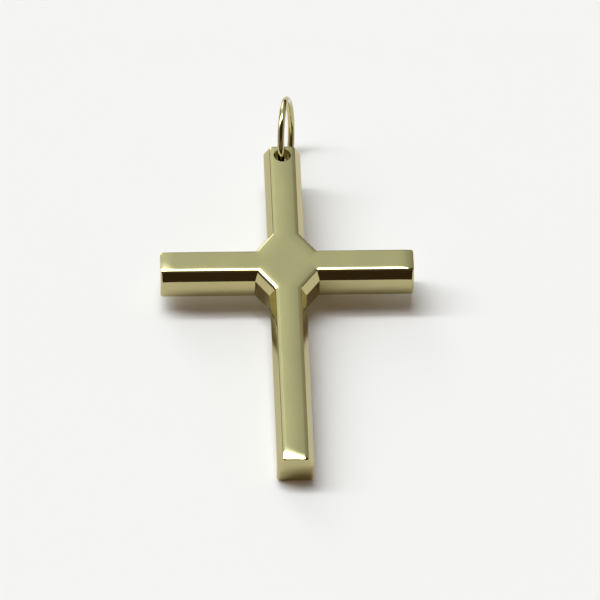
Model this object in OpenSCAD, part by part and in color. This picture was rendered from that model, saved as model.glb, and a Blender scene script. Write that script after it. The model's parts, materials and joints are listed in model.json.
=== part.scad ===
// Cross pendant with a jump ring, lying on its back as it comes to rest.
// The pendant is drawn flat, with its foot at y = 0 and its back on z = 0.
// It is then tipped head up until the foot and the ring both touch the surface.

/* [Cross] */
// Length of the upright, from the foot to the head
upright_len = 34.7; // [30:0.1:44]
// Width across the two side arms
span = 22; // [18:0.1:28]
// Width of the upright and of the side arms
arm_w = 3.2; // [2.6:0.05:4]
// Thickness from the back to the front
thick = 3.05; // [2.4:0.05:3.6]
// Length of the upper arm, from the head down to the side arms
upper_arm = 11.3; // [8:0.1:14]

/* [Edges] */
// How far the shoulder along each long edge reaches in from the side
shoulder_w = 0.5; // [0.3:0.05:0.8]
// How far the shoulder reaches down from the front
shoulder_h = 0.95; // [0.6:0.05:1.2]
// Radius that softens the line between the front and the shoulder
front_edge_r = 0.35; // [0.2:0.05:0.5]
// Radius along the long edges of the back
back_edge_r = 0.3; // [0.1:0.05:0.5]
// Length over which the front rolls down to the foot and to the head
roll_len = 1.6; // [0.8:0.1:2]
// Radius of that roll
roll_r = 7; // [5:0.5:12]

/* [Inner corners] */
// Reach of each inner corner's slant along a side arm
slant_x = 1.2; // [0.8:0.05:1.8]
// Reach of each inner corner's slant along the upright
slant_y = 1.6; // [0.8:0.05:2.2]

/* [Jump ring] */
// Outer diameter of the ring
ring_d = 7.3; // [6.6:0.1:8.4]
// Diameter of the ring's wire
wire_d = 0.6; // [0.5:0.05:0.8]
// Clearance between the wire and the wall of its hole
wire_clear = 0.18; // [0.15:0.01:0.24]
// Height of the ring's centre above the middle of the thickness
ring_lift = 0.1; // [0:0.05:0.15]
// Swing of the ring about the hole, in degrees
ring_yaw = -8; // [-12:1:12]
// Lean of the ring out of the upright position, in degrees
ring_lean = -6.5; // [-7:0.5:7]
// Metal left between the hole and the head
end_wall = 0.35; // [0.3:0.05:0.8]

/* [Hidden] */
$fn = 64;
over = 1;

// Places along the upright
cross_y = upright_len - upper_arm - arm_w / 2;

// Slanted inner corners: their distance from the middle of the crossing and direction
slant_len = norm([slant_x, slant_y]);
slant_dist = (slant_y * (arm_w / 2 + slant_x) + slant_x * arm_w / 2) / slant_len;
slant_turn = atan2(slant_x, slant_y);

// Drop of the front at the foot and at the head
roll_drop = roll_r - sqrt(roll_r * roll_r - roll_len * roll_len);

// The hole is as wide as the ring's curve through the thickness needs
ring_r = ring_d / 2;
wire_r = wire_d / 2;
ring_mid_r = ring_r - wire_r;
ring_in_r = ring_r - wire_d;
ring_z = thick / 2 + ring_lift;
curve_depth = ring_r - sqrt(ring_in_r * ring_in_r - ring_z * ring_z);
hole_r = curve_depth / 2 + wire_clear;
hole_y = upright_len - end_wall - hole_r;

// Ring centre and the direction of the ring's axis
wire_y = hole_y - hole_r + wire_clear + wire_r;
ring_c = [
    -ring_mid_r * sin(ring_yaw),
    wire_y + ring_mid_r * cos(ring_yaw),
    ring_z
];
ring_axis = [
    cos(ring_lean) * cos(ring_yaw),
    cos(ring_lean) * sin(ring_yaw),
    -sin(ring_lean)
];

// Reach of the ring from its centre along a direction
function ring_reach(way) = ring_mid_r * sqrt(1 - pow(way * ring_axis, 2)) + wire_r;

// Tilt at which the ring's lowest point is level with the foot
function settle(tilt, passes) = passes == 0 ? tilt : settle(
    asin(ring_reach([0, sin(tilt), cos(tilt)]) / norm([ring_c.y, ring_c.z]))
        - atan2(ring_c.z, ring_c.y),
    passes - 1
);
rest_tilt = settle(3, 6);

// Middle of the tilted pendant's length, which goes to the origin
along = [0, cos(rest_tilt), -sin(rest_tilt)];
far_y = ring_c * along + ring_reach(along);
near_y = -(thick - roll_drop) * sin(rest_tilt);
middle_y = (far_y + near_y) / 2;

function unit(v) = v / norm(v);

// Points of a rounding of radius r at a corner, from the side a to the side b
function rounding(corner, a, b, r, steps) =
    let (
        half_angle = acos(a * b) / 2,
        centre = corner + unit(a + b) * r / sin(half_angle),
        start = atan2(-(a + b).y, -(a + b).x),
        turn = (90 - half_angle) * sign(a.x * b.y - a.y * b.x)
    )
    [for (i = [0:steps]) let (t = start + turn * (1 - 2 * i / steps))
        centre + r * [cos(t), sin(t)]];

// Long edges of a bar whose side is at x: the front's shoulder, then the back
function front_edge(x) = concat(
    rounding(
        [x - shoulder_w, thick], [-1, 0], unit([shoulder_w, -shoulder_h]), front_edge_r, 5
    ),
    [[x, thick - shoulder_h]]
);
function back_edge(x) = rounding([x, 0], [0, 1], [-1, 0], back_edge_r, 6);

// Section across a bar: square sides, a shoulder on each side of the flat front
module section(w) {
    half = concat(front_edge(w / 2), back_edge(w / 2));
    polygon(concat(half, [for (i = [len(half) - 1:-1:0]) [-half[i].x, half[i].y]]));
}

// The path p with both ends drawn out past the sides that they meet
function drawn_out(p) = let (n = len(p) - 1)
    concat([4 * p[0] - 3 * p[1]], p, [4 * p[n] - 3 * p[n - 1]]);

// What the long edges take off a square block whose side is at x
module edge_waste(x) {
    far = x + 2 * over;
    front = drawn_out(front_edge(x));
    back = drawn_out(back_edge(x));
    polygon(concat(front, [[far, 0], [far, thick + over], [front[0].x, thick + over]]));
    polygon(concat(back, [[back[len(back) - 1].x, -over], [far, -over], [far, back[0].y]]));
}

// Bar along x, centred on the origin
module bar(length, w) {
    translate([-length / 2, 0, 0])
        rotate([90, 0, 90]) linear_extrude(length) section(w);
}

// What the roll takes off the front of the upright towards y = 0
module roll_waste() {
    steps = 8;
    arc = [for (i = [0:steps]) let (t = asin(roll_len / roll_r) * i / steps)
        [roll_len - roll_r * sin(t), thick - roll_r * (1 - cos(t))]];
    translate([-arm_w / 2 - over, 0, 0]) rotate([90, 0, 90])
        linear_extrude(arm_w + 2 * over) polygon(concat(
            arc,
            [[-over, thick - roll_drop - over], [-over, thick + over]],
            [[roll_len, thick + over]]
        ));
}

module upright() {
    difference() {
        translate([0, upright_len / 2, 0]) rotate(90) bar(upright_len, arm_w);
        roll_waste();
        translate([0, upright_len, 0]) mirror([0, 1, 0]) roll_waste();
    }
}

module side_arms() {
    translate([0, cross_y, 0]) bar(span, arm_w);
}

// Block in the crossing whose four sides are the slanted inner corners
module slants() {
    tip_x = slant_dist / cos(slant_turn);
    tip_y = slant_dist / sin(slant_turn);
    translate([0, cross_y, 0]) difference() {
        linear_extrude(thick)
            polygon([[tip_x, 0], [0, tip_y], [-tip_x, 0], [0, -tip_y]]);
        for (turn = [slant_turn, 180 - slant_turn, 180 + slant_turn, -slant_turn])
            rotate(turn) rotate([90, 0, 0])
                linear_extrude(2 * (tip_x + tip_y), center = true) edge_waste(slant_dist);
    }
}

// Hole for the ring, through the head from front to back
module ring_hole() {
    translate([0, hole_y, -over]) cylinder(h = thick + 2 * over, r = hole_r);
}

// Tips the flat pendant into the pose in which it rests
module at_rest() {
    translate([0, -middle_y, 0]) rotate([rest_tilt, 0, 0]) children();
}

module cross() {
    color("goldenrod") at_rest() difference() {
        union() {
            upright();
            side_arms();
            slants();
        }
        ring_hole();
    }
}

module jump_ring() {
    color("gold") at_rest() translate(ring_c)
        rotate([0, ring_lean, ring_yaw]) rotate([0, 90, 0])
            rotate_extrude() translate([ring_mid_r, 0]) circle(wire_r);
}

cross();
jump_ring();
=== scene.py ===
import json
import math
import bmesh
import bpy
import numpy as np
from mathutils import Matrix, Vector


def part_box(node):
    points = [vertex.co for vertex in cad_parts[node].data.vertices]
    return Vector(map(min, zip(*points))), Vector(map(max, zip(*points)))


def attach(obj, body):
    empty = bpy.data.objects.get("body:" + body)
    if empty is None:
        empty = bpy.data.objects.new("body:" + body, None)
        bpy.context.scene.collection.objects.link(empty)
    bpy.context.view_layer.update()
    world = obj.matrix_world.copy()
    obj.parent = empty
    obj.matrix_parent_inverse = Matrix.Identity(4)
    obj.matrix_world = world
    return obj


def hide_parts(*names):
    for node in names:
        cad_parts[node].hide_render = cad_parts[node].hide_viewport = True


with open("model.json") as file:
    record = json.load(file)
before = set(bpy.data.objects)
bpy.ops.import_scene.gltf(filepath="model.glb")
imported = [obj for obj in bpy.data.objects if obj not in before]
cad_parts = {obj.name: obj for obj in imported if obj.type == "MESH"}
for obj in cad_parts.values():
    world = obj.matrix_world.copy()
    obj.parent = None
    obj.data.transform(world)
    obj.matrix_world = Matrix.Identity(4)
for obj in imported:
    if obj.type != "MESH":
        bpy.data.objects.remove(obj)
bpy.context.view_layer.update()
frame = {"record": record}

# Sizes in millimetres, first the main shapes and then the finish of their edges
mm = 0.001
upright_len = 34.7
span = 22.0
arm_w = 3.2
thick = 3.05
upper_arm = 11.3
shoulder_w = 0.5
shoulder_h = 0.92
slant_x = 1.2
slant_y = 1.6
roll_len = 1.6
roll_end_slope = 0.2286
arm_roll_len = 1.0
arm_roll_r = 8.0
hole_r = 0.714
end_wall = 0.35
hole_y = upright_len - end_wall - hole_r
rest_tilt = math.radians(3.136)

front_edge_r = 0.16
roll_over_r = 1.35
roll_over_w = 0.31
roll_over_end = math.radians(13)
shoulder_foot_r = 0.12
back_edge_r = 0.3
end_edge_r = 0.05
end_corner_r = 0.25
cap_inset = 0.03
rim_break = 0.07
crown = 0.02
crisp_edge = math.radians(28)
half_w = arm_w / 2
cross_y = upright_len - upper_arm - half_w
half_face = half_w - shoulder_w - roll_over_w


def roll(near):
    """Drop and slope of the front where the wheel rolled it down to an end."""
    slope = roll_end_slope * (near / roll_len) ** 2
    return slope * near / 3, slope


def fillet(corner, before, after, radius, steps):
    """Points of a rounding at a corner of the section, each with its outward normal."""
    a = (Vector(before) - Vector(corner)).normalized()
    b = (Vector(after) - Vector(corner)).normalized()
    half = a.angle(b) / 2
    out = -(a + b).normalized()
    centre = Vector(corner) - out * radius / math.sin(half)
    side = (a - a.dot(out) * out).normalized()
    points = []
    for i in range(steps + 1):
        t = (math.pi / 2 - half) * (1 - 2 * i / steps)
        n = out * math.cos(t) + side * math.sin(t)
        points.append((*(centre + radius * n), *n))
    return points


def bar_section():
    """Half of a bar's section, from the middle of the back round its side to the middle
    of the front: rows of distance in from the side, height, and the outward normal."""
    roll_over_steps = 9
    side_places = (0.25, 0.5, 0.75)
    front_places = (0.15, 0.3, 0.45, 0.6, 0.75, 0.9, 1.0)
    mid_back = half_w * 0.6
    lean = math.atan(2 * crown / half_face)
    rolled = []
    for a in np.linspace(roll_over_end, lean, roll_over_steps):
        rolled.append((half_w - half_face - roll_over_r * (math.sin(a) - math.sin(lean)),
                       thick - crown - roll_over_r * (math.cos(lean) - math.cos(a)),
                       -math.sin(a), math.cos(a)))
    corner = (shoulder_w,
              rolled[0][1] - math.tan(roll_over_end) * (rolled[0][0] - shoulder_w))
    foot = (0.0, thick - shoulder_h)
    back = fillet((0, 0), (half_w, 0), (0, thick), back_edge_r, steps=8)
    low = fillet(foot, (0, 0), corner, shoulder_foot_r, steps=4)
    high = fillet(corner, foot, rolled[0][:2], front_edge_r, steps=8)
    rows = [(half_w, 0.0, 0.0, -1.0), (mid_back, 0.0, 0.0, -1.0)] + back
    for t in side_places:
        rows.append((0.0, back[-1][1] * (1 - t) + low[0][1] * t, -1.0, 0.0))
    rows += low
    for t in side_places:
        rows.append((low[-1][0] * (1 - t) + high[0][0] * t,
                     low[-1][1] * (1 - t) + high[0][1] * t, *high[0][2:]))
    rows += high + rolled
    start = rolled[-1][0]
    for t in front_places:
        inset = start + t * (half_w - start)
        rows.append((inset, thick - crown * ((half_w - inset) / half_face) ** 2, 0.0, 1.0))
    return rows


end_steps = 10
slant_nx = slant_y / math.hypot(slant_x, slant_y)
slant_ny = slant_x / math.hypot(slant_x, slant_y)
slant_dist = slant_nx * (half_w + slant_x) + slant_ny * half_w


def bar_places(start, end, count):
    """Places along a bar from the crossing out. Each has how far the section draws in
    there, and the share of its width that the rounded upright corners leave."""
    turn = end - end_corner_r
    places = [(start + (turn - start) * t, 0.0, 1.0) for t in np.linspace(0, 1, count)]
    for i in range(1, end_steps + 1):
        t = math.pi / 2 * i / end_steps
        out = turn + end_corner_r * math.sin(t)
        near = min(1 - (end - out) / end_edge_r, 1.0)
        drawn = end_edge_r * (1 - math.sqrt(1 - max(near, 0.0) ** 2))
        places.append((out, drawn, 1 - end_corner_r * (1 - math.cos(t)) / half_w))
    return places


def swell(x, y, across, along, start=0.0):
    """A wave over the front, given by how far it turns in a millimetre each way."""
    return math.sin(across * x + along * y + start)


def wheel_waves(x, y):
    """Slow unevenness that the felt wheel leaves on a hand-polished front, in parts of
    wave_height. It stays below wave_top."""
    crossed = swell(x, y, across=0.8, along=0.9, start=0.4) * swell(x, y, across=-1.1, along=0.31)
    return (crossed + 0.6 * swell(x, y, across=1.7, along=-0.5, start=1.9)
            + 0.5 * swell(x, y, across=0.42, along=1.3))


wave_height = 0.0022
wave_top = 2.2
wave_depth = 0.5
drop_from = 1.0
drop_over = 1.2


def worn(x, y, z):
    """A point of the plain bars moved to the rolled-down and hand-polished front. The
    back stays flat: the roll grows in above drop_from, the waves just below the front."""
    near = max(roll_len - min(y, upright_len - y), 0.0)
    tip = max(abs(x) - span / 2 + arm_roll_len, 0.0)
    drop = roll(near)[0] + tip ** 2 / (2 * arm_roll_r)
    rolled = min(max((z - drop_from) / drop_over, 0.0), 1.0)
    polished = min(max((z - thick) / wave_depth + 1, 0.0), 1.0)
    return (x, y, z - drop * rolled + wave_height * (wheel_waves(x, y) - wave_top) * polished)


def cross_quarter(shape, side, way, end_y):
    """A quarter of the skin, from a side arm's end round a slanted inner corner
    to the end of the upright, and its share of the crossing's middle."""
    arm_count, slant_count, spacing = 26, 11, 0.32
    middle_places = (1, 0.7, 0.4, 0.15, 0)
    grid = []
    for inset, height, n_in, n_up in bar_section():
        h = half_w - inset
        corner_x = (slant_dist - inset - slant_ny * h) / slant_nx
        corner_y = (slant_dist - inset - slant_nx * h) / slant_ny
        row = [(x, h * share + n_in * s, height - n_up * s)
               for x, s, share in reversed(bar_places(corner_x, span / 2, arm_count))]
        row += [(corner_x + (h - corner_x) * t, h + (corner_y - h) * t, height)
                for t in np.linspace(0, 1, slant_count)[1:-1]]
        row += [(h * share + n_in * s, y, height - n_up * s)
                for y, s, share in bar_places(corner_y, end_y, int(end_y / spacing))]
        grid.append(row)
    first = arm_count + end_steps - 1
    middles = []
    for row in (grid[0], grid[-1]):
        part = row[first:first + slant_count]
        middles.append([[(x * t, y * t, z) for x, y, z in part] for t in middle_places])
    for patch in [grid] + middles:
        verts = [[shape.verts.new(worn(side * x, cross_y + way * y, z)) for x, y, z in row]
                 for row in patch]
        for low, high in zip(verts[:-1], verts[1:]):
            for i in range(len(low) - 1):
                shape.faces.new((low[i], low[i + 1], high[i + 1], high[i]))


def drill():
    """What the ring's hole takes out of the head, its two rims slightly broken."""
    steps, past = 72, 0.4
    tool = bmesh.new()
    drop, slope = roll(roll_len - upright_len + hole_y)
    top = thick - drop
    wide_r = hole_r + rim_break + past
    rings = []
    for z, r in ((-past, wide_r), (rim_break, hole_r), (top - rim_break, hole_r),
                 (top + past, wide_r)):
        ring = []
        for i in range(steps):
            a = math.tau * (i + 0.5) / steps
            tip = -slope * r * math.sin(a) if z > thick / 2 else 0.0
            ring.append(tool.verts.new((r * math.cos(a), hole_y + r * math.sin(a), z + tip)))
        rings.append(ring)
    for low, high in zip(rings[:-1], rings[1:]):
        for i in range(steps):
            after = (i + 1) % steps
            tool.faces.new((low[i], low[after], high[after], high[i]))
    tool.faces.new(list(reversed(rings[0])))
    tool.faces.new(rings[-1])
    bmesh.ops.recalc_face_normals(tool, faces=tool.faces)
    return tool


def to_object(shape, name):
    mesh = bpy.data.meshes.new(name)
    shape.to_mesh(mesh)
    shape.free()
    piece = bpy.data.objects.new(name, mesh)
    bpy.context.scene.collection.objects.link(piece)
    return piece


def finish_edges(piece):
    """Smooth shading with the crisp edges kept."""
    shape = bmesh.new()
    shape.from_mesh(piece.data)
    for face in shape.faces:
        face.smooth = True
    for edge in shape.edges:
        edge.smooth = len(edge.link_faces) == 2 and edge.calc_face_angle() < crisp_edge
    shape.to_mesh(piece.data)
    shape.free()


weld = 2e-5
skin = bmesh.new()
for side in (1, -1):
    cross_quarter(skin, side, 1, upright_len - cross_y)
    cross_quarter(skin, side, -1, cross_y)
bmesh.ops.remove_doubles(skin, verts=skin.verts, dist=weld)
bmesh.ops.dissolve_degenerate(skin, edges=skin.edges, dist=weld)
caps = bmesh.ops.holes_fill(skin, edges=[e for e in skin.edges if e.is_boundary], sides=0)
bmesh.ops.inset_individual(skin, faces=caps["faces"], thickness=cap_inset)
bmesh.ops.recalc_face_normals(skin, faces=skin.faces)
cross = to_object(skin, "polished_cross")
bit = to_object(drill(), "drill_bit")
hole = cross.modifiers.new("ring_hole", "BOOLEAN")
hole.object = bit
hole.solver = "EXACT"
drilled = bpy.data.meshes.new_from_object(
    cross.evaluated_get(bpy.context.evaluated_depsgraph_get()))
cross.modifiers.clear()
cross.data = drilled
bpy.data.objects.remove(bit)
finish_edges(cross)
cross.data.transform(Matrix.Rotation(rest_tilt, 4, "X"))
lowest = min(v.co.y for v in cross.data.vertices)
cross.data.transform(Matrix.Scale(mm, 4))
cross.data.transform(Matrix.Translation((0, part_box("cross")[0].y - lowest * mm, 0)))


class Socket:
    """A shader value that Python's operators turn into Math nodes."""

    def __init__(self, tree, link):
        self.tree, self.link = tree, link

    def node(self, kind, settings=None, out=0, **values):
        """Any node: its settings first, then the values or links of its sockets, which
        go by name, or as i0, i1 and so on by number."""
        made = self.tree.nodes.new(kind)
        for key, value in (settings or {}).items():
            setattr(made, key, value)
        for key, value in values.items():
            numbered = key[1:].isdigit()
            target = made.inputs[int(key[1:]) if numbered else key.replace("_", " ")]
            if isinstance(value, Socket):
                self.tree.links.new(value.link, target)
            else:
                target.default_value = value
        return Socket(self.tree, made.outputs[out])

    def maths(self, operation, *values):
        inputs = {f"i{i}": value for i, value in enumerate(values)}
        return self.node("ShaderNodeMath", {"operation": operation}, **inputs)

    def ramp(self, low, high):
        """A smooth step from 0 to 1 between two values, which may run downwards."""
        settings = {"interpolation_type": "SMOOTHSTEP"}
        return self.node("ShaderNodeMapRange", settings, Value=self, From_Min=low, From_Max=high)

    def mix(self, a, b):
        """Colour a where this value is 0 and colour b where it is 1."""
        return self.node("ShaderNodeMix", {"data_type": "RGBA"}, out=2, i0=self, i6=a, i7=b)

    def __add__(self, other):
        return self.maths("ADD", self, other)

    def __radd__(self, other):
        return self.maths("ADD", other, self)

    def __sub__(self, other):
        return self.maths("SUBTRACT", self, other)

    def __rsub__(self, other):
        return self.maths("SUBTRACT", other, self)

    def __mul__(self, other):
        return self.maths("MULTIPLY", self, other)

    def __rmul__(self, other):
        return self.maths("MULTIPLY", other, self)


yellow_gold = (0.52, 0.455, 0.222, 1)
greener_gold = (0.50, 0.445, 0.225, 1)
mirror = 0.035
hairline = 0.62


def polished_gold(name, haze, scratch):
    """Mirror-polished gold: slow colour drift, a haze of handling and fine hairlines."""
    material = bpy.data.materials.new(name)
    material.use_nodes = True
    tree = material.node_tree
    shader = tree.nodes["Principled BSDF"]
    shader.inputs["Metallic"].default_value = 1.0
    start = Socket(tree, None)
    place = start.node("ShaderNodeTexCoord", out=3)
    drift = start.node("ShaderNodeTexNoise", Vector=place, Scale=260.0, Detail=2.0)
    smear = start.node("ShaderNodeTexNoise", Vector=place, Scale=900.0, Detail=4.0, Roughness=0.6)
    along = start.node("ShaderNodeMapping", Vector=place, Rotation=(0.0, 0.0, 0.5),
                       Scale=(1.0, 14.0, 14.0))
    hairs = start.node("ShaderNodeTexNoise", Vector=along, Scale=2600.0, Detail=3.0)
    lines = (hairs - hairline).ramp(0.0, 0.12)
    colour = drift.ramp(0.3, 0.7).mix(yellow_gold, greener_gold)
    tree.links.new(colour.link, shader.inputs["Base Color"])
    rough = mirror + smear.ramp(0.45, 0.75) * haze + lines * scratch
    tree.links.new(rough.link, shader.inputs["Roughness"])
    waves = start.node("ShaderNodeTexNoise", Vector=place, Scale=420.0, Detail=1.0)
    bump = start.node("ShaderNodeBump", Height=waves + lines * -0.05, Strength=0.25,
                      Distance=0.02 * mm)
    tree.links.new(bump.link, shader.inputs["Normal"])
    return material


gold = polished_gold("polished_gold", haze=0.05, scratch=0.04)
cross.data.materials.clear()
cross.data.materials.append(gold)
for face in cross.data.polygons:
    face.material_index = 0
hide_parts("cross")
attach(cross, "root")

# Jump ring
# Drawn round gold wire bent to a circle and closed, threaded loosely through the
# head. It stands on edge and leans against the side of its hole.
ring_d = 7.3
wire_d = 0.6
die_mark = 0.006
ring_steps = 144
wire_steps = 28
seat = frame["record"]["mounts"][0]
ring_axis = Vector(seat["axis"]).normalized()
ring_centre = Vector(seat["pos_m"])
loop = bmesh.new()
coils = []
for i in range(ring_steps):
    a = math.tau * i / ring_steps
    out = Vector((0, math.cos(a), math.sin(a)))
    coil = []
    for k in range(wire_steps):
        b = math.tau * k / wire_steps
        r = wire_d / 2 * (1 - die_mark * math.sin(3 * a + 2 * b) ** 2)
        point = out * ((ring_d - wire_d) / 2 + r * math.cos(b)) + Vector((r * math.sin(b), 0, 0))
        coil.append(loop.verts.new(point * mm))
    coils.append(coil)
for i in range(ring_steps):
    here, there = coils[i], coils[(i + 1) % ring_steps]
    for k in range(wire_steps):
        after = (k + 1) % wire_steps
        loop.faces.new((here[k], here[after], there[after], there[k]))
bmesh.ops.recalc_face_normals(loop, faces=loop.faces)
ring = to_object(loop, "wire_ring")
ring.data.transform(Vector((1, 0, 0)).rotation_difference(ring_axis).to_matrix().to_4x4())
ring.data.transform(Matrix.Translation(ring_centre))
finish_edges(ring)
ring.data.materials.append(polished_gold("drawn_gold_wire", haze=0.06, scratch=0.07))
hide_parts("jump_ring")
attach(ring, "root")

# Table, light and camera
# A pale matt table with a painted warm glow, a faint fill that lifts its shade
# and the shade seen in the gold. The light is a bright tube beside a soft box,
# overhead and a little behind, and a small window low at the back left. The wall
# behind is dimmer, and warm shade lies in front and to the right.
table = bmesh.new()
bmesh.ops.create_circle(table, cap_ends=True, segments=96, radius=0.9)
floor = to_object(table, "table")
pale_paper = (0.778, 0.776, 0.80, 1)
painted_fill_glow = (1.0, 0.6, 0.25, 1)
matt = bpy.data.materials.new("matt_table")
matt.use_nodes = True
paper = matt.node_tree.nodes["Principled BSDF"]
paper.inputs["Roughness"].default_value = 0.9
paper.inputs["Specular IOR Level"].default_value = 0.0
paper.inputs["Base Color"].default_value = pale_paper
# Painted fill light: a faint warm glow that lightens the table's shade and browns it
paper.inputs["Emission Color"].default_value = painted_fill_glow
paper.inputs["Emission Strength"].default_value = 0.035
floor.data.materials.append(matt)

world = bpy.data.worlds.new("soft_studio")
bpy.context.scene.world = world
world.use_nodes = True
sky = Socket(world.node_tree, None)
way = sky.node("ShaderNodeTexCoord", out=0)
parts = sky.node("ShaderNodeSeparateXYZ", Vector=way).link.node.outputs
x_way, y_way, z_way = (Socket(world.node_tree, part) for part in parts)

# Each light's edges are ramps over x, y or z, or over climb, the angle in radians from
# the front over the top to the back. The tube and the box lean over to the right.
climb = sky.maths("ARCTAN2", z_way, y_way * -1.0)
tube_lean = 0.22
slanted = climb + tube_lean * x_way.ramp(-0.1, 0.2)
width = x_way.ramp(0.18, 0.10) * x_way.ramp(-0.95, -0.75)
tube = slanted.ramp(1.90, 1.98) * slanted.ramp(2.13, 1.93) * width
box = climb.ramp(1.64, 1.74) * slanted.ramp(2.00, 1.92) * width
halo = slanted.ramp(2.22, 2.08) * climb.ramp(1.70, 1.90) * width * x_way.ramp(-0.24, -0.10)
window = climb.ramp(2.48, 2.60) * x_way.ramp(-0.10, -0.24) * x_way.ramp(-0.54, -0.46)
tube_light, box_light, halo_light, window_light = 24.0, 3.2, 1.2, 3.2
lamps = box_light * box + halo_light * halo + tube_light * tube + window_light * window

# The wall fades to both sides, downwards and at the far back. What lies in front and
# below gives only a little, with a pale strip low in front and at the far sides.
wall = 1.02 - 0.62 * x_way.ramp(-0.12, 0.26) - 0.6 * x_way.ramp(-0.45, -0.70)
room = climb.ramp(1.62, 2.02) * (1 - 0.5 * climb.ramp(2.5, 2.8)) * wall * z_way.ramp(0.05, 0.30)
strip = z_way.ramp(0.17, 0.27) * z_way.ramp(0.66, 0.52) * y_way.ramp(0.2, -0.1)
sides = (x_way * x_way).ramp(0.45, 0.75) * z_way.ramp(0.05, 0.15)
strength = room + lamps + 0.16 * strip + 0.3 * sides + 0.05
warm_shade, cool_wall, white = (1.0, 0.64, 0.38, 1), (0.91, 1.0, 1.0, 1), (0.97, 1.0, 0.98, 1)
tint = strength.ramp(0.1, 0.6).mix(warm_shade, cool_wall)
lit = (box + tube + window).ramp(0.0, 0.6).mix(tint, white)
backdrop = world.node_tree.nodes["Background"]
world.node_tree.links.new(lit.link, backdrop.inputs["Color"])
world.node_tree.links.new(strength.link, backdrop.inputs["Strength"])
bpy.context.scene.view_settings.view_transform = "Standard"

# The photograph's frame, and the pixel at which it shows the point seen
frame_px = 600
px_per_mm = 11.532
seen, seen_px = Vector((0, -0.5, 3.0)), (287.671, 287.62)
azimuth, elevation, twist = math.radians(-3.694), math.radians(48.246), math.radians(2.073)
distance = 912.4
back = Vector((math.sin(azimuth) * math.cos(elevation), -math.cos(azimuth) * math.cos(elevation),
               math.sin(elevation)))
level = Vector((math.cos(azimuth), math.sin(azimuth), 0))
right = level * math.cos(twist) + back.cross(level) * math.sin(twist)
up = back.cross(right)
aim = (seen + right * ((frame_px / 2 - seen_px[0]) / px_per_mm)
       - up * ((frame_px / 2 - seen_px[1]) / px_per_mm))
lens = bpy.data.cameras.new("camera")
lens.sensor_width = 36
lens.lens = px_per_mm * distance / frame_px * lens.sensor_width
lens.clip_end = 10
camera = bpy.data.objects.new("camera", lens)
camera.matrix_world = Matrix.Translation((aim + back * distance) * mm) @ Matrix(
    (right, up, back)).transposed().to_4x4()
bpy.context.scene.collection.objects.link(camera)
bpy.context.scene.camera = camera
